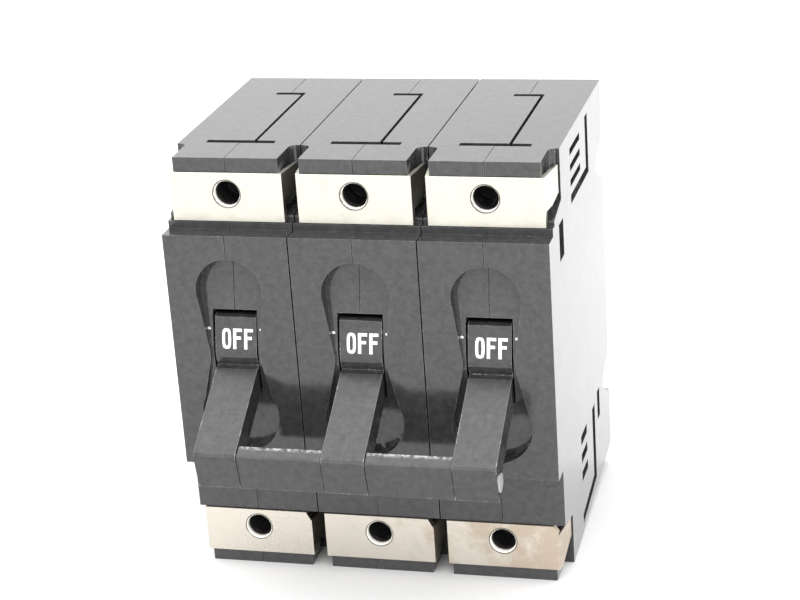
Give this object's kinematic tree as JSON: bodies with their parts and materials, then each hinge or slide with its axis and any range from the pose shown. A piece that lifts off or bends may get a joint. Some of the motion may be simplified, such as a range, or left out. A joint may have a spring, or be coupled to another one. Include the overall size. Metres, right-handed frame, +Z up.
{
  "type": "circuit breaker",
  "caption": "Moulded toggle circuit breaker: side-by-side poles with front screw terminals, linked toggles tied by a cross bar, and rear snap-in hooks.",
  "frame": {"origin": "centre of the rear mounting face, midway across the poles and midway up the case", "axes": "+Z up with the line terminals at the top, -Y out of the toggle face, +X towards the right-hand pole as seen from the front"},
  "size_m": [0.076, 0.0775, 0.087],
  "materials": {
    "phenolic_case": "satin",
    "toggle_plastic": "satin",
    "tinned_terminal": "satin",
    "tarnished_terminal": "satin",
    "zinc_steel": "satin",
    "grey_steel": "satin",
    "passivated_steel": "satin",
    "spring_steel": "polished",
    "silver_contact": "satin",
    "copper": "satin",
    "copper_braid": "matte",
    "enamelled_wire": "gloss",
    "brass_tube": "satin",
    "plunger_iron": "satin",
    "fibre_board": "matte",
    "nylon_bobbin": "matte",
    "trip_bar_plastic": "satin"
  },
  "bodies": {
    "case": {"case_left_1": "phenolic_case", "case_left_2": "phenolic_case", "case_left_3": "phenolic_case", "case_right_1": "phenolic_case", "case_right_2": "phenolic_case", "case_right_3": "phenolic_case", "case_screws": "zinc_steel", "line_terminal_1": "tinned_terminal", "line_terminal_2": "tinned_terminal", "line_terminal_3": "tinned_terminal", "load_terminal_1": "tarnished_terminal", "load_terminal_2": "tarnished_terminal", "load_terminal_3": "tarnished_terminal", "fixed_contacts": "silver_contact", "arc_plates": "grey_steel", "arc_side_boards": "fibre_board", "toggle_pins": "zinc_steel", "arm_pins": "zinc_steel", "opening_springs": "spring_steel", "braids": "copper_braid", "magnet_frame_1": "grey_steel", "magnet_frame_2": "grey_steel", "magnet_frame_3": "grey_steel", "bobbins": "nylon_bobbin", "coil_1": "enamelled_wire", "coil_2": "enamelled_wire", "coil_3": "enamelled_wire", "dashpot_tube_1": "brass_tube", "dashpot_tube_2": "brass_tube", "dashpot_tube_3": "brass_tube", "plunger_spring_1": "spring_steel", "plunger_spring_2": "spring_steel", "plunger_spring_3": "spring_steel", "armature_pins": "zinc_steel"},
    "handle": {"toggle_1": "toggle_plastic", "toggle_2": "toggle_plastic", "toggle_3": "toggle_plastic", "tie_spacers": "toggle_plastic", "tie_rod": "zinc_steel", "crank_pins": "zinc_steel"},
    "link_1": {"link_1": "passivated_steel"},
    "contact_arm_1": {"contact_arm_1": "copper", "moving_contact_1": "silver_contact", "lever_pin_1": "zinc_steel"},
    "armature_1": {"armature_1": "grey_steel"},
    "plunger_1": {"plunger_1": "plunger_iron"},
    "link_2": {"link_2": "passivated_steel"},
    "contact_arm_2": {"contact_arm_2": "copper", "moving_contact_2": "silver_contact", "lever_pin_2": "zinc_steel"},
    "armature_2": {"armature_2": "grey_steel"},
    "plunger_2": {"plunger_2": "plunger_iron"},
    "link_3": {"link_3": "passivated_steel"},
    "contact_arm_3": {"contact_arm_3": "copper", "moving_contact_3": "silver_contact", "lever_pin_3": "zinc_steel"},
    "armature_3": {"armature_3": "grey_steel"},
    "plunger_3": {"plunger_3": "plunger_iron"},
    "trip_bar": {"trip_bar": "trip_bar_plastic"}
  },
  "joints": [
    {"name": "toggle_throw", "type": "hinge", "parent": "case", "child": "handle", "pos_m": [0, -0.0508, 0.00445], "axis": [-1, 0, 0], "range_deg": [0, 62.6]},
    {"name": "link_1_turn", "type": "hinge", "parent": "handle", "child": "link_1", "pos_m": [-0.0254, -0.04695, 0.00679], "axis": [-1, 0, 0], "range_deg": [-62.6, 0]},
    {"name": "contact_arm_1_swing", "type": "hinge", "parent": "case", "child": "contact_arm_1", "pos_m": [-0.0254, -0.0315, -0.004], "axis": [1, 0, 0], "range_deg": [0, 18.56], "deforming": ["opening_springs", "braids"]},
    {"name": "link_2_turn", "type": "hinge", "parent": "handle", "child": "link_2", "pos_m": [0, -0.04695, 0.00679], "axis": [-1, 0, 0], "range_deg": [-62.6, 0]},
    {"name": "contact_arm_2_swing", "type": "hinge", "parent": "case", "child": "contact_arm_2", "pos_m": [0, -0.0315, -0.004], "axis": [1, 0, 0], "range_deg": [0, 18.56]},
    {"name": "link_3_turn", "type": "hinge", "parent": "handle", "child": "link_3", "pos_m": [0.0254, -0.04695, 0.00679], "axis": [-1, 0, 0], "range_deg": [-62.6, 0]},
    {"name": "contact_arm_3_swing", "type": "hinge", "parent": "case", "child": "contact_arm_3", "pos_m": [0.0254, -0.0315, -0.004], "axis": [1, 0, 0], "range_deg": [0, 18.56]},
    {"name": "armature_1_pull", "type": "hinge", "parent": "case", "child": "armature_1", "pos_m": [-0.0254, -0.0315, -0.0112], "axis": [-1, 0, 0], "range_deg": [0, 9]},
    {"name": "armature_2_pull", "type": "hinge", "parent": "case", "child": "armature_2", "pos_m": [0, -0.0315, -0.0112], "axis": [-1, 0, 0], "range_deg": [0, 9]},
    {"name": "armature_3_pull", "type": "hinge", "parent": "case", "child": "armature_3", "pos_m": [0.0254, -0.0315, -0.0112], "axis": [-1, 0, 0], "range_deg": [0, 9]},
    {"name": "plunger_1_rise", "type": "slide", "parent": "case", "child": "plunger_1", "axis": [0, 0, 1], "range_m": [0, 0.009], "deforming": ["plunger_spring_1"]},
    {"name": "plunger_2_rise", "type": "slide", "parent": "case", "child": "plunger_2", "axis": [0, 0, 1], "range_m": [0, 0.009], "deforming": ["plunger_spring_2"]},
    {"name": "plunger_3_rise", "type": "slide", "parent": "case", "child": "plunger_3", "axis": [0, 0, 1], "range_m": [0, 0.009], "deforming": ["plunger_spring_3"]},
    {"name": "trip_bar_turn", "type": "hinge", "parent": "case", "child": "trip_bar", "pos_m": [0, -0.042, -0.015], "axis": [1, 0, 0], "range_deg": [0, 8]}
  ],
  "couplings": [
    {"joint": "link_1_turn", "follows": "toggle_throw", "ratio": -1},
    {"joint": "contact_arm_1_swing", "follows": "toggle_throw", "ratio": 0.29648},
    {"joint": "link_2_turn", "follows": "toggle_throw", "ratio": -1},
    {"joint": "contact_arm_2_swing", "follows": "toggle_throw", "ratio": 0.29648},
    {"joint": "link_3_turn", "follows": "toggle_throw", "ratio": -1},
    {"joint": "contact_arm_3_swing", "follows": "toggle_throw", "ratio": 0.29648}
  ]
}
